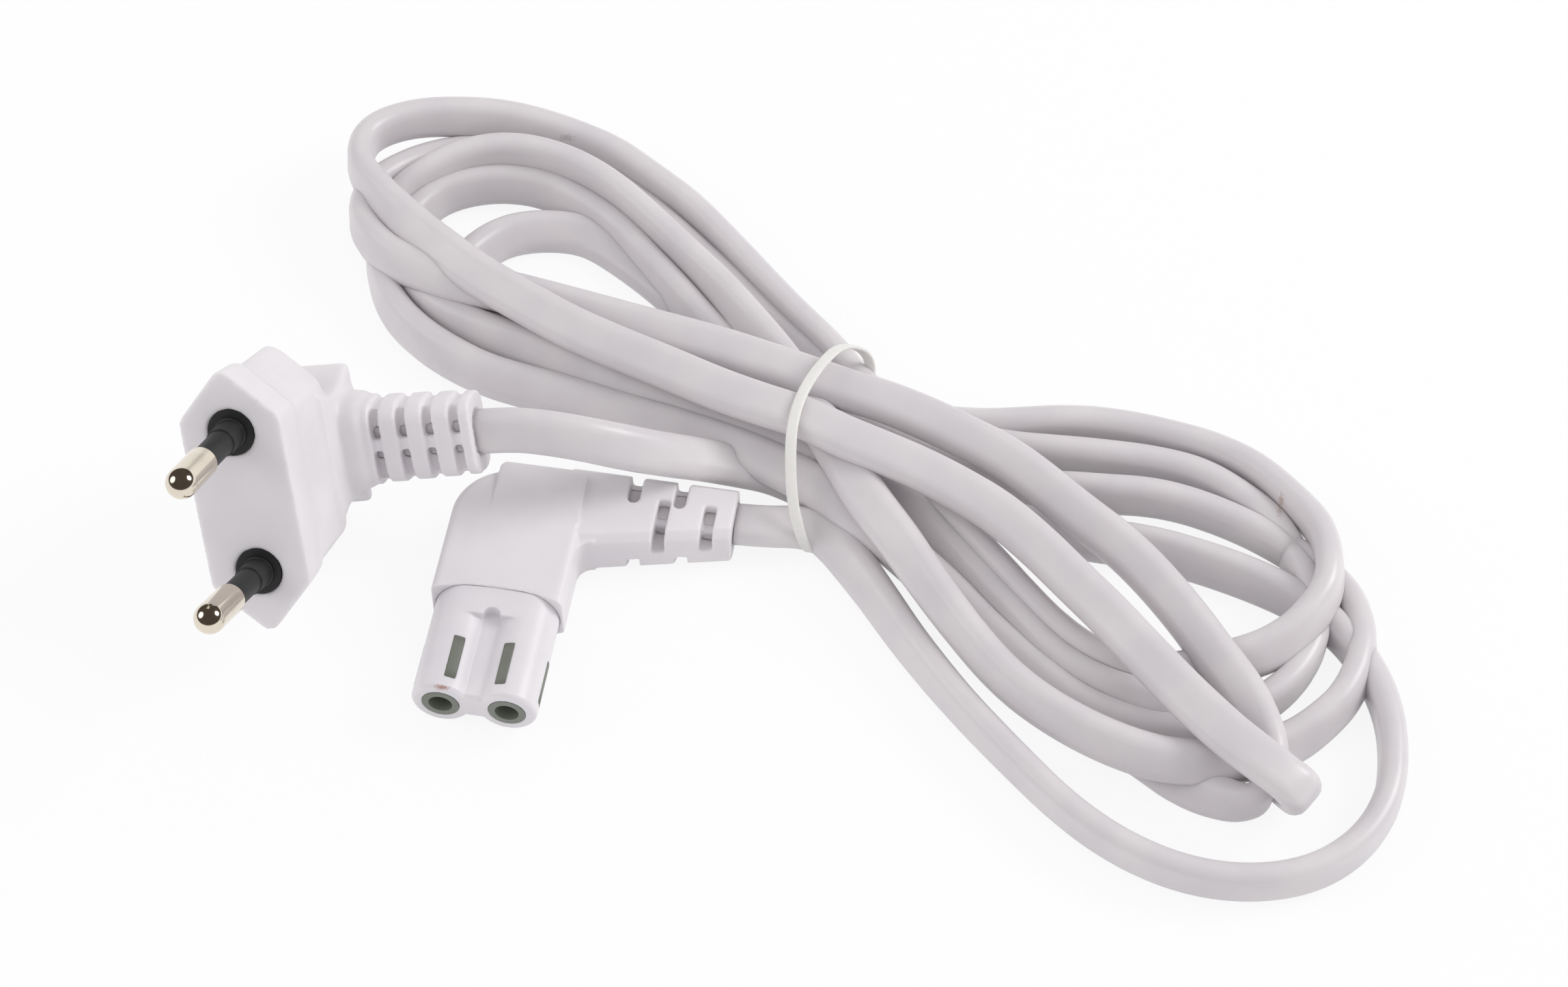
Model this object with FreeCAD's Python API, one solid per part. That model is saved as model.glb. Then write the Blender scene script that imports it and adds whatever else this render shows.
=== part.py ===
import FreeCAD, Part
import math
import os

# A figure-eight power lead in millimetres: right-angle figure-eight connector, flat twin cord
# in a tied hank, flat two-pin plug. Working frame: origin on the floor under the middle of the
# connector's nose face, nose towards -Y, cord leaving towards +X, +Z up.

# Figure-eight nose
SOCKET_PITCH = 8.6
NOSE_HEIGHT = 7.7
NOSE_WEB_HEIGHT = 4.4
NOSE_EDGE = 0.45
SOCKET_BORE = 2.4
SOCKET_ENTRY = 3.1
SOCKET_SETBACK = 2.6
CONTACT_LENGTH = 12.5
CONTACT_TAIL = 5.0
CONTACT_SLIT = 0.3
CARRIER_TUBE = 4.8
CARRIER_LENGTH = 14.2
CARRIER_BRIDGE = 1.8
CARRIER_BRIDGE_HEIGHT = 3.2
WINDOW_WIDTH = 1.3
WINDOW_PITCH = 6.5
WINDOW_LENGTH = 6.2
WINDOW_START = 1.9
GROOVE_WIDTH = 2.3
GROOVE_LENGTH = 13.2
# Connector body and its side strain relief
BODY_HEIGHT = 8.1
BODY_SKIN = 0.5
BODY_LENGTH = 35.5
SEAM_MIDDLE = 16.2
SEAM_SIDE = 13.6
BODY_CORNER = 7.5
BODY_EDGE = 1.1
BODY_BOTTOM_EDGE = 1.5
PAD_RAISE = 0.6
PAD_LEFT = -3.6
PAD_RIGHT = 8.2
PAD_LENGTH = 8.2
RELIEF_END = 28.0
RELIEF_AXIS = 34.0
RELIEF_NEAR_ROOT = 25.4
RELIEF_NEAR_END = 29.7
RELIEF_FAR = 37.7
RELIEF_CORNER = 2.0
RELIEF_ROOT_HEIGHT = 7.5
RELIEF_END_HEIGHT = 7.0
RELIEF_EDGE = 1.1
RELIEF_SLOT = 1.6
RELIEF_SLOT_PITCH = 6.1
RELIEF_FIRST_SLOT = 18.7
RELIEF_NEAR_SLOT_OFFSET = 3.2
RELIEF_FAR_SLOT_OFFSET = 4.2
RELIEF_TOP_SLOT_END = 33.8
RELIEF_FAR_SLOT_DEPTH = 4.9
# Flat twin cord
CORD_WIDTH = 6.0
CORD_THICKNESS = 3.6
CORD_BEVEL = 1.1
CORE_DIAMETER = 2.0
CORE_PITCH = 2.6
CORE_TURN = 7.5
CORE_BEND = 6.0
CORE_RUN_IN = 1.0
# Plug
PIN_PITCH = 18.6
PIN_TIP_PITCH = 17.5
PIN_DIAMETER = 4.0
PIN_LENGTH = 19.0
SLEEVE_LENGTH = 8.0
SLEEVE_DIAMETER = 3.4
SLEEVE_RING = 0.4
SLEEVE_BORE = 2.4
PIN_TAIL = 9.0
FACE_LENGTH = 36.0
FACE_WIDTH = 13.7
HEX_CORNER = 1.6
FRONT_DEPTH = 5.6
FRONT_TAPER = 0.55
STEP_DEPTH = 1.4
STEP_INSET = 1.0
STEP_SIDE_INSET = 0.3
REAR_DEPTH = 17.7
REAR_TAPER = 0.5
SHOULDER_INSET = 2.2
SHOULDER_SIDE_INSET = 1.6
SHOULDER_DEPTH = 1.8
BRIDGE_DISC = 6.0
BRIDGE_THICKNESS = 2.4
BRIDGE_DEPTH = 2.2
GRIP_DEPTH = 27.0
GRIP_HALF_SPAN = 9.8
GRIP_NECK = 7.6
GRIP_NECK_DEPTH = 2.0
GRIP_ROOT_FLARE = 1.2
GRIP_ROOT_DEPTH = 3.0
GRIP_HALF_WIDTH = 6.7
GRIP_EDGE = 1.2
PLUG_RELIEF_DEPTH = 22.5
PLUG_RELIEF_END = 24.3
PLUG_RELIEF_SPAN = 11.5
PLUG_RELIEF_THICKNESS = 7.6
PLUG_RELIEF_CORNER = 2.8
PLUG_RELIEF_COLLAR = 0.7
PLUG_RELIEF_TAPER = 0.5
RIB_PITCH = 3.6
RIB_SLOT = 1.3
RIB_FIRST_SLOT = 11.4
RIB_COUNT = 4
RIB_SHRINK = 0.35
RIB_GROOVE = 0.5
RIB_SIDE_WALL = 1.1
RIB_WEB = 1.6
# How the plug lies: it leans on its lower rear corner, cord side up
PLUG_FACE_X = -30.95
PLUG_FACE_Y = 13.35
PLUG_YAW = 3.2
PLUG_PITCH = -13.8
PLUG_ROLL = 57.3
# Elastic band round the waist of the hank
BAND_WIDTH = 1.6
BAND_THICKNESS = 0.8
WAIST_X = 35.8
WAIST_Y = 46.0
WAIST_HALF_LENGTH = 3.0

# The hank: plan outlines of its loops and openings, and of the strands that lie on top
HANK_HEIGHT = 8.4
RIDGE_HEIGHT = 12.0
HANK_OUTLINE = [
    (37, 32.0), (44, 26.5), (60, 9.0), (75, -4.5), (90, -11.5), (104, -10.5), (114.5, -3.0),
    (118.5, 10.0), (114, 27.0), (107.5, 42.0), (97, 55.0), (82, 60.5), (58, 60.0), (42, 64.0),
    (22, 82.0), (6, 95.0), (-10, 100.5), (-25, 99.0), (-35, 92.5), (-36.5, 84.0), (-32, 71.5),
    (-26, 60.5), (-14, 53.0), (4, 47.5), (24, 43.0), (33, 36.0),
]
LEFT_OPENING = [(-13, 70.0), (-4, 67.0), (8, 65.5), (10.5, 70.0), (5, 76.5), (-3, 80.0), (-10, 77.5)]
FRONT_OPENING = [
    (63, 12.0), (74, 1.5), (88, -6.0), (101, -6.5), (110, 0.0), (112, 9.5), (108.5, 15.0),
    (107, 3.5), (99, -1.0), (86, 2.0), (74, 7.0),
]
RIGHT_OPENING = [(88, 37.0), (94, 26.5), (101, 33.5)]
RIDGE_OUTLINE = [
    (-36.5, 82.0), (-28, 70.0), (-12, 61.0), (8, 52.5), (34, 43.0), (56, 36.0), (72, 24.5),
    (90, 7.5), (104, -0.5), (108.5, 3.5), (99, 14.0), (86, 30.5), (68, 46.5), (50, 55.0),
    (20, 63.0), (-8, 69.5), (-27, 80.0), (-31, 87.5),
]
# Section of the tied waist inside the band: distance across the bundle, height
WAIST_SECTION = [
    (-12.5, 0.8), (-15.8, 3.2), (-13.0, 7.0), (-4.0, 14.6), (4.0, 15.2), (12.0, 12.8), (17.6, 9.0),
    (18.2, 4.0), (15.0, 0.8),
]
WAIST_ROUNDING = 1.6
# Route of the cord where it isn't coiled, after the plug's strain relief
PLUG_LEAD_STRAIGHT = 4.5
PLUG_LEAD_POINTS = [
    (3.4, 33.9, 18.7), (7.8, 34.3, 17.9), (11.8, 35.2, 16.2), (15.3, 36.7, 13.8), (18.6, 38.5, 11.2),
    (22.0, 40.4, 8.7), (26.1, 42.0, 6.6), (30.6, 43.3, 5.1),
]


def vec(x, y, z=0.0):
    return FreeCAD.Vector(x, y, z)


def rounded_wire(points, radius, closed=True):
    """Straight runs joined by tangent arcs of one radius, or as large as the runs allow when it is None."""
    n = len(points)
    ends = []
    edges = []
    for i, p in enumerate(points):
        if not closed and i in (0, n - 1):
            ends.append((p, p))
            continue
        back = points[i - 1] - p
        on = points[(i + 1) % n] - p
        half = (math.pi - back.getAngle(on)) / 2
        if radius is None:
            reach = 0.45 * min(back.Length, on.Length)
        else:
            reach = min(radius * math.tan(half), 0.45 * min(back.Length, on.Length))
        u, w = vec(*back).normalize(), vec(*on).normalize()
        start, stop = p + u * reach, p + w * reach
        r = reach / math.tan(half)
        middle = p + (u + w).normalize() * (r / math.cos(half) - r)
        ends.append((start, stop))
        edges.append((i, Part.Arc(start, middle, stop).toShape(), r))
    arcs = {i: e for i, e, r in edges}
    out = []
    for i in range(n):
        if i in arcs:
            out.append(arcs[i])
        if closed or i < n - 1:
            a, b = ends[i][1], ends[(i + 1) % n][0]
            out.append(Part.LineSegment(a, b).toShape())
    return Part.Wire(out), [r for i, e, r in edges]


def plate(outline, radius, z0, z1):
    wire = rounded_wire([vec(x, y, z0) for x, y in outline], radius)[0]
    return Part.Face(wire).extrude(vec(0, 0, z1 - z0))


def block(x0, x1, y0, y1, z0, z1):
    return Part.makeBox(x1 - x0, y1 - y0, z1 - z0, vec(x0, y0, z0))


def rod(radius, start, axis, length):
    return Part.makeCylinder(radius, length, start, axis)


def prism(outline, height):
    wire = Part.makePolygon([vec(x, y) for x, y in outline + outline[:1]])
    return Part.Face(wire).extrude(vec(0, 0, height))


def bevelled(centre, wide, thin, half, deep, bevel):
    """A rectangle with bevelled corners: wide and thin are unit vectors across it."""
    flat, side = half - bevel, deep - bevel
    quarter = [(flat, deep), (half, side), (half, -side), (flat, -deep)]
    corners = quarter + [(-a, -b) for a, b in quarter]
    return Part.makePolygon([centre + wide * a + thin * b for a, b in corners + corners[:1]])


def flat_section(centre, wide, thin):
    return bevelled(centre, wide, thin, CORD_WIDTH / 2, CORD_THICKNESS / 2, CORD_BEVEL)


def flat_bar(start, along, wide, length):
    thin = along.cross(wide)
    return Part.Face(flat_section(start, wide, thin)).extrude(along * length)


def bent_rod(points, radius, wide):
    """An eight-sided core along straight runs with mitred corners; wide is a unit vector across its start."""
    path = Part.makePolygon(points)
    thin = (points[1] - points[0]).normalize().cross(wide)
    ring = bevelled(points[0], wide, thin, radius, radius, radius * (2 - math.sqrt(2)))
    return path.makePipeShell([ring], True, False, 1)


def socket_xs():
    return [-SOCKET_PITCH / 2, SOCKET_PITCH / 2]


AXIS_Z = BODY_HEIGHT / 2
ALONG_X = vec(1, 0, 0)
ALONG_Y = vec(0, 1, 0)
ALONG_Z = vec(0, 0, 1)


def figure_eight(inset, y0, y1):
    """Two round lobes joined by a flat web, between two planes across the nose."""
    r = NOSE_HEIGHT / 2 - inset
    web = NOSE_WEB_HEIGHT / 2 - inset
    solid = block(-SOCKET_PITCH / 2, SOCKET_PITCH / 2, y0, y1, AXIS_Z - web, AXIS_Z + web)
    for x in socket_xs():
        solid = solid.fuse(rod(r, vec(x, y0, AXIS_Z), ALONG_Y, y1 - y0))
    return solid.removeSplitter()


def nose():
    body = figure_eight(0, NOSE_EDGE, SEAM_MIDDLE)
    r = NOSE_HEIGHT / 2
    for x in socket_xs():
        lip = Part.makeCone(r - NOSE_EDGE, r, NOSE_EDGE, vec(x, 0, AXIS_Z), ALONG_Y)
        body = body.fuse(lip)
    body = body.fuse(figure_eight(NOSE_EDGE, 0, NOSE_EDGE))
    collar = block(-SOCKET_PITCH / 2, SOCKET_PITCH / 2, GROOVE_LENGTH - GROOVE_WIDTH / 2, SEAM_MIDDLE,
                   AXIS_Z - r, AXIS_Z + r)
    groove = rod(GROOVE_WIDTH / 2, vec(0, GROOVE_LENGTH - GROOVE_WIDTH / 2, 0), vec(0, 0, 1), BODY_HEIGHT)
    web = NOSE_WEB_HEIGHT / 2
    groove = groove.cut(block(-GROOVE_WIDTH, GROOVE_WIDTH, 0, SEAM_MIDDLE, AXIS_Z - web, AXIS_Z + web))
    body = body.fuse(collar).cut(groove)
    for x in socket_xs():
        body = body.cut(rod(CARRIER_TUBE / 2, vec(x, 0, AXIS_Z), ALONG_Y, CARRIER_LENGTH))
        side = math.copysign(1, x)
        window = side * WINDOW_PITCH / 2
        body = body.cut(block(window - WINDOW_WIDTH / 2, window + WINDOW_WIDTH / 2, WINDOW_START,
                              WINDOW_START + WINDOW_LENGTH, AXIS_Z, BODY_HEIGHT))
        far = x + side * r
        body = body.cut(block(min(x, far + side), max(x, far + side), WINDOW_START,
                              WINDOW_START + WINDOW_LENGTH, AXIS_Z - WINDOW_WIDTH / 2,
                              AXIS_Z + WINDOW_WIDTH / 2))
    return body.cut(bridge_block()).cut(contact_room()).removeSplitter()


def bridge_block():
    half = SOCKET_PITCH / 2 + CARRIER_TUBE / 2
    return block(-half, half, CARRIER_LENGTH - CARRIER_BRIDGE, CARRIER_LENGTH,
                 AXIS_Z - CARRIER_BRIDGE_HEIGHT / 2, AXIS_Z + CARRIER_BRIDGE_HEIGHT / 2)


def contact_carrier():
    solid = bridge_block()
    for x in socket_xs():
        solid = solid.fuse(rod(CARRIER_TUBE / 2, vec(x, 0, AXIS_Z), ALONG_Y, CARRIER_LENGTH))
    for x in socket_xs():
        solid = solid.cut(rod(SOCKET_ENTRY / 2, vec(x, 0, AXIS_Z), ALONG_Y, CARRIER_LENGTH))
    return solid.removeSplitter()


def contact(x):
    """A turned socket with a split mouth and a crimp tail."""
    start = SOCKET_SETBACK
    solid = rod(SOCKET_ENTRY / 2, vec(x, start, AXIS_Z), ALONG_Y, CONTACT_LENGTH)
    solid = solid.fuse(rod(CORE_DIAMETER / 2, vec(x, start + CONTACT_LENGTH, AXIS_Z), ALONG_Y, CONTACT_TAIL))
    bore = rod(SOCKET_BORE / 2, vec(x, start, AXIS_Z), ALONG_Y, CONTACT_LENGTH - SOCKET_ENTRY / 2)
    slit = block(x - CONTACT_SLIT / 2, x + CONTACT_SLIT / 2, start, start + CONTACT_LENGTH / 2,
                 AXIS_Z - SOCKET_ENTRY, AXIS_Z + SOCKET_ENTRY)
    return solid.cut(bore).cut(slit).removeSplitter()


def contact_room():
    """Space of both contacts and their tails, for what is moulded round them."""
    rooms = []
    for x in socket_xs():
        rooms.append(rod(SOCKET_ENTRY / 2, vec(x, 0, AXIS_Z), ALONG_Y, SOCKET_SETBACK + CONTACT_LENGTH))
        rooms.append(rod(CORE_DIAMETER / 2, vec(x, 0, AXIS_Z), ALONG_Y, contact_end()))
    return Part.makeCompound(rooms)


def contact_end():
    return SOCKET_SETBACK + CONTACT_LENGTH + CONTACT_TAIL


def connector_core(side):
    """An insulated core from a contact's tail round the corner to the cord's jacket."""
    x = side * SOCKET_PITCH / 2
    y = RELIEF_AXIS - side * CORE_PITCH / 2
    points = [vec(x, contact_end(), AXIS_Z), vec(x, RELIEF_AXIS - CORE_BEND, AXIS_Z),
              vec(jacket_start() - CORE_RUN_IN, y, AXIS_Z), vec(jacket_start(), y, AXIS_Z)]
    return bent_rod(points, CORE_DIAMETER / 2, ALONG_X)


def jacket_start():
    return SOCKET_PITCH / 2 + CARRIER_TUBE


def connector_jacket():
    return flat_bar(vec(jacket_start(), RELIEF_AXIS, AXIS_Z), ALONG_X, ALONG_Y, RELIEF_END - jacket_start())


def body_half_width():
    return SOCKET_PITCH / 2 + NOSE_HEIGHT / 2 + BODY_SKIN


def connector_body():
    """The overmould's main block: arched front seam, one big rear corner, raised rear pad."""
    w = body_half_width()
    left, right = vec(-w, SEAM_SIDE), vec(w, SEAM_SIDE)
    seam = Part.Arc(left, vec(0, SEAM_MIDDLE), right).toShape()
    edge = BODY_LENGTH - BODY_CORNER
    swing = BODY_CORNER * math.sqrt(0.5)
    corner_end = vec(BODY_CORNER - w, BODY_LENGTH)
    corner = Part.Arc(vec(-w, edge), vec(BODY_CORNER - w - swing, edge + swing), corner_end)
    lines = [
        seam,
        Part.LineSegment(right, vec(w, BODY_LENGTH)).toShape(),
        Part.LineSegment(vec(w, BODY_LENGTH), corner_end).toShape(),
        corner.toShape(),
        Part.LineSegment(vec(-w, edge), left).toShape(),
    ]
    solid = Part.Face(Part.Wire(Part.__sortEdges__(lines))).extrude(vec(0, 0, BODY_HEIGHT))
    solid = solid.makeFillet(BODY_EDGE, rim(solid, BODY_HEIGHT))
    return solid.makeChamfer(BODY_BOTTOM_EDGE, rim(solid, 0))


def rim(solid, z):
    """The body's edges at one height, without its front seam."""
    found = []
    for edge in solid.Edges:
        box = edge.BoundBox
        if abs(box.ZMin - z) < 0.01 and abs(box.ZMax - z) < 0.01 and box.YMax > SEAM_MIDDLE + 1:
            found.append(edge)
    return found


def relief_arm():
    """The tapered side arm that holds the cord, with a filleted inner corner."""
    w = body_half_width()
    slope = (RELIEF_NEAR_END - RELIEF_NEAR_ROOT) / (RELIEF_END - w)
    sections = []
    for x, height in ((w - 3, RELIEF_ROOT_HEIGHT), (RELIEF_END, RELIEF_END_HEIGHT)):
        near = RELIEF_NEAR_END - slope * (RELIEF_END - x)
        middle = vec(x, (near + RELIEF_FAR) / 2, AXIS_Z)
        half_width = (RELIEF_FAR - near) / 2
        sections.append(bevelled(middle, ALONG_Y, ALONG_Z, half_width, height / 2, RELIEF_EDGE))
    arm = Part.makeLoft(sections, True, True)
    r = RELIEF_CORNER
    half = RELIEF_ROOT_HEIGHT / 2 - RELIEF_EDGE / 2
    near = RELIEF_NEAR_ROOT + slope * r
    corner = block(w - 1, w + r, near - r, near + 1, AXIS_Z - half, AXIS_Z + half)
    return arm.fuse(corner.cut(rod(r, vec(w + r, near - r, 0), vec(0, 0, 1), BODY_HEIGHT)))


def relief_slots():
    """Alternating flex slots: two from the top and front, two through the rear edge."""
    half = RELIEF_SLOT / 2
    up = vec(0, 0, 1)
    jacket_top = AXIS_Z + CORD_THICKNESS / 2
    jacket_near = RELIEF_AXIS - CORD_WIDTH / 2
    jacket_far = RELIEF_AXIS + CORD_WIDTH / 2
    near = RELIEF_NEAR_ROOT - RELIEF_CORNER
    far = RELIEF_FAR + RELIEF_EDGE
    top_end = RELIEF_TOP_SLOT_END
    far_end = RELIEF_FAR - RELIEF_FAR_SLOT_DEPTH + half
    cuts = []
    for i in range(2):
        x = RELIEF_FIRST_SLOT + i * RELIEF_SLOT_PITCH
        cuts.append(block(x - half, x + half, near, top_end, jacket_top, BODY_HEIGHT))
        cuts.append(block(x - half, x + half, near, jacket_near, AXIS_Z, BODY_HEIGHT))
        notch = x - RELIEF_FAR_SLOT_OFFSET
        cuts.append(block(notch - half, notch + half, far_end, far, jacket_top, BODY_HEIGHT))
        cuts.append(rod(half, vec(notch, far_end, jacket_top), up, BODY_HEIGHT))
        cuts.append(block(notch - half, notch + half, jacket_far, far, 0, BODY_HEIGHT))
        notch = x - RELIEF_NEAR_SLOT_OFFSET
        cuts.append(block(notch - half, notch + half, near, jacket_near, 0, AXIS_Z - CORD_THICKNESS / 3))
    return Part.makeCompound(cuts)


def rear_pad():
    corners = [(PAD_LEFT, BODY_LENGTH - PAD_LENGTH), (PAD_RIGHT, BODY_LENGTH - PAD_LENGTH),
               (PAD_RIGHT, BODY_LENGTH + PAD_RAISE), (PAD_LEFT, BODY_LENGTH + PAD_RAISE)]
    return plate(corners, BODY_EDGE, PAD_RAISE, BODY_HEIGHT + PAD_RAISE)


def connector_overmould():
    solid = connector_body().fuse(relief_arm()).fuse(rear_pad())
    solid = solid.cut(relief_slots())
    for inner in (connector_core(-1), connector_core(1), connector_jacket(), nose(), contact_room()):
        solid = solid.cut(inner)
    return solid.removeSplitter()


def hexagon(half_length, half_width, z):
    straight = half_length - half_width
    points = [(0, half_length), (-half_width, straight), (-half_width, -straight), (0, -half_length),
              (half_width, -straight), (half_width, straight)]
    return rounded_wire([vec(x, y, z) for x, y in points], HEX_CORNER)[0]


def plug_block():
    """The hexagonal plug body: a tapered front, a step, and a slimmer rear."""
    a, b = FACE_LENGTH / 2, FACE_WIDTH / 2
    z1, z2 = -FRONT_DEPTH, -FRONT_DEPTH - STEP_DEPTH
    front = Part.makeLoft([hexagon(a, b, 0), hexagon(a - FRONT_TAPER, b - FRONT_TAPER / 2, z1)], True, True)
    a, b = a - FRONT_TAPER, b - FRONT_TAPER / 2
    step = Part.makeLoft([hexagon(a, b, z1), hexagon(a - STEP_INSET, b - STEP_SIDE_INSET, z2)], True, True)
    a, b = a - STEP_INSET, b - STEP_SIDE_INSET
    rear_start = hexagon(a, b, z2)
    a, b = a - REAR_TAPER, b - REAR_TAPER / 2
    rear = Part.makeLoft([rear_start, hexagon(a, b, -REAR_DEPTH)], True, True)
    shoulder = hexagon(a - SHOULDER_INSET, b - SHOULDER_SIDE_INSET, -REAR_DEPTH - SHOULDER_DEPTH)
    end = Part.makeLoft([hexagon(a, b, -REAR_DEPTH), shoulder], True, True)
    return front.fuse(step).fuse(rear).fuse(end)


def grip():
    """The flared finger grip behind the body, a profile with concave flanks."""
    z_neck, z_end = -REAR_DEPTH - GRIP_NECK_DEPTH, -GRIP_DEPTH
    s, n = GRIP_HALF_SPAN, GRIP_NECK
    root = n + GRIP_ROOT_FLARE
    top = -REAR_DEPTH + GRIP_ROOT_DEPTH
    edges = []
    for side in (1, -1):
        bottom = vec(0, side * s, z_end + GRIP_EDGE)
        flare = Part.Arc(vec(0, side * root, top), vec(0, side * n, z_neck), bottom)
        swing = GRIP_EDGE * (1 - math.sqrt(0.5))
        tip_end = vec(0, side * (s - GRIP_EDGE), z_end)
        tip = Part.Arc(bottom, vec(0, side * (s - swing), z_end + swing), tip_end)
        edges += [flare.toShape(), tip.toShape()]
    edges.append(Part.LineSegment(vec(0, s - GRIP_EDGE, z_end), vec(0, GRIP_EDGE - s, z_end)).toShape())
    edges.append(Part.LineSegment(vec(0, root, top), vec(0, -root, top)).toShape())
    face = Part.Face(Part.Wire(Part.__sortEdges__(edges)))
    face.translate(vec(-GRIP_HALF_WIDTH, 0, 0))
    return face.extrude(vec(2 * GRIP_HALF_WIDTH, 0, 0))


def relief_ring(x, inset):
    """A rounded rectangle across the plug's strain relief."""
    inset += PLUG_RELIEF_TAPER * (x - GRIP_HALF_WIDTH) / (PLUG_RELIEF_END - GRIP_HALF_WIDTH)
    a = PLUG_RELIEF_SPAN / 2 - inset
    b = PLUG_RELIEF_THICKNESS / 2 - inset
    z = -PLUG_RELIEF_DEPTH
    corners = [vec(x, s * a, z + t * b) for s, t in ((1, 1), (-1, 1), (-1, -1), (1, -1))]
    return rounded_wire(corners, PLUG_RELIEF_CORNER - inset)[0]


def ring_run(x0, x1, inset):
    """A straight stretch of the strain relief; each lies a little further in than the one before."""
    return Part.Face(relief_ring(x0, inset)).extrude(vec(x1 - x0, 0, 0))


def plug_relief():
    """The ribbed strain relief across the back of the plug."""
    half = RIB_SLOT / 2
    starts = [GRIP_HALF_WIDTH - 1] + [RIB_FIRST_SLOT + i * RIB_PITCH + half for i in range(RIB_COUNT)]
    stops = [RIB_FIRST_SLOT + i * RIB_PITCH - half for i in range(RIB_COUNT)] + [PLUG_RELIEF_END]
    barrel = ring_run(starts[0], stops[0], 0)
    for neck, x0, x1 in zip(stops, starts[1:], stops[1:]):
        barrel = barrel.fuse(ring_run(neck, x0, RIB_GROOVE)).fuse(ring_run(x0, x1, 0))
    collar_end = stops[0] - RIB_SLOT / 2
    collar = [relief_ring(GRIP_HALF_WIDTH - 1, -PLUG_RELIEF_COLLAR),
              relief_ring(collar_end - 1, -PLUG_RELIEF_COLLAR), relief_ring(collar_end, RIB_SHRINK)]
    return barrel.fuse(Part.makeLoft(collar, True, True))


def rib_slots():
    """Windows between the ribs: a pair in the front and a pair in the rear, down to the jacket."""
    half = RIB_SLOT / 2
    deep = PLUG_RELIEF_THICKNESS
    z = -PLUG_RELIEF_DEPTH
    outer = PLUG_RELIEF_SPAN / 2 - RIB_SIDE_WALL
    inner = RIB_WEB / 2
    thin = CORD_THICKNESS / 2
    cuts = []
    for i in range(RIB_COUNT):
        x = RIB_FIRST_SLOT + i * RIB_PITCH
        for y0, y1 in ((inner, outer), (-outer, -inner)):
            cuts.append(block(x - half, x + half, y0, y1, z + thin, z + deep))
            cuts.append(block(x - half, x + half, y0, y1, z - deep, z - thin))
    return Part.makeCompound(cuts)


def pin_lean(side):
    return side * math.degrees(math.atan((PIN_PITCH - PIN_TIP_PITCH) / 2 / PIN_LENGTH))


def lean(shape, side):
    """Turns a pin piece, made upright at the origin, to its converging place."""
    turned = shape.copy()
    turned.rotate(vec(0, 0, 0), vec(1, 0, 0), pin_lean(side))
    turned.translate(vec(0, side * PIN_PITCH / 2, 0))
    return turned


def pin(side):
    r = PIN_DIAMETER / 2
    solid = rod(SLEEVE_BORE / 2, vec(0, 0, -PIN_TAIL), vec(0, 0, 1), PIN_TAIL + SLEEVE_LENGTH)
    solid = solid.fuse(rod(r, vec(0, 0, SLEEVE_LENGTH), vec(0, 0, 1), PIN_LENGTH - SLEEVE_LENGTH - r))
    solid = solid.fuse(Part.makeSphere(r, vec(0, 0, PIN_LENGTH - r)))
    return lean(solid.removeSplitter(), side)


def sleeve(side):
    """The pin's insulating sleeve, with a low foot ring that lies flat on the face."""
    up = vec(0, 0, 1)
    solid = lean(rod(SLEEVE_DIAMETER / 2, vec(0, 0, -BRIDGE_DEPTH), up, BRIDGE_DEPTH + SLEEVE_LENGTH), side)
    foot = rod(SLEEVE_DIAMETER / 2 + SLEEVE_RING, vec(0, side * PIN_PITCH / 2, 0), up, SLEEVE_RING)
    bore = rod(SLEEVE_BORE / 2, vec(0, 0, -PIN_TAIL), up, PIN_TAIL + PIN_LENGTH)
    return solid.fuse(foot).cut(lean(bore, side)).removeSplitter()


def pin_hole(side):
    """Room for a pin and the seated end of its sleeve."""
    up = vec(0, 0, 1)
    hole = rod(SLEEVE_BORE / 2, vec(0, 0, -PIN_TAIL), up, PIN_TAIL + 1)
    hole = hole.fuse(rod(SLEEVE_DIAMETER / 2, vec(0, 0, -BRIDGE_DEPTH), up, BRIDGE_DEPTH + 1))
    return lean(hole, side)


def pin_bridge():
    """The dark carrier: a bar inside the body with two discs that show in the face."""
    top = -BRIDGE_DEPTH
    half = PIN_PITCH / 2
    solid = block(-BRIDGE_DISC / 2, BRIDGE_DISC / 2, -half, half, top - BRIDGE_THICKNESS, top)
    for side in (-1, 1):
        solid = solid.fuse(rod(BRIDGE_DISC / 2, vec(0, side * half, top - BRIDGE_THICKNESS), vec(0, 0, 1),
                               BRIDGE_DEPTH + BRIDGE_THICKNESS))
    solid = solid.removeSplitter()
    for side in (-1, 1):
        solid = solid.cut(pin_hole(side))
    return solid


def plug_core(side):
    """An insulated core from a pin's tail to the jacket at the strain relief."""
    lean_y = side * (PIN_PITCH / 2 + PIN_TAIL * math.tan(math.radians(abs(pin_lean(side)))))
    y, z = side * CORE_PITCH / 2, -PLUG_RELIEF_DEPTH
    points = [vec(0, lean_y, -PIN_TAIL), vec(0, lean_y, z + CORE_TURN), vec(0, y, z),
              vec(plug_jacket_start(), y, z)]
    return bent_rod(points, CORE_DIAMETER / 2, ALONG_X).cut(pin(side))


def plug_jacket_start():
    return GRIP_HALF_WIDTH


def plug_jacket():
    start = vec(plug_jacket_start(), 0, -PLUG_RELIEF_DEPTH)
    return flat_bar(start, ALONG_X, ALONG_Y, PLUG_RELIEF_END - plug_jacket_start())


def plug_overmould():
    solid = plug_block().fuse(grip()).fuse(plug_relief().cut(rib_slots()))
    solid = solid.cut(plug_jacket())
    bridge_room = pin_bridge()
    for side in (-1, 1):
        bridge_room = bridge_room.fuse(pin_hole(side)).fuse(plug_core(side))
    return solid.cut(bridge_room).removeSplitter()


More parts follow.
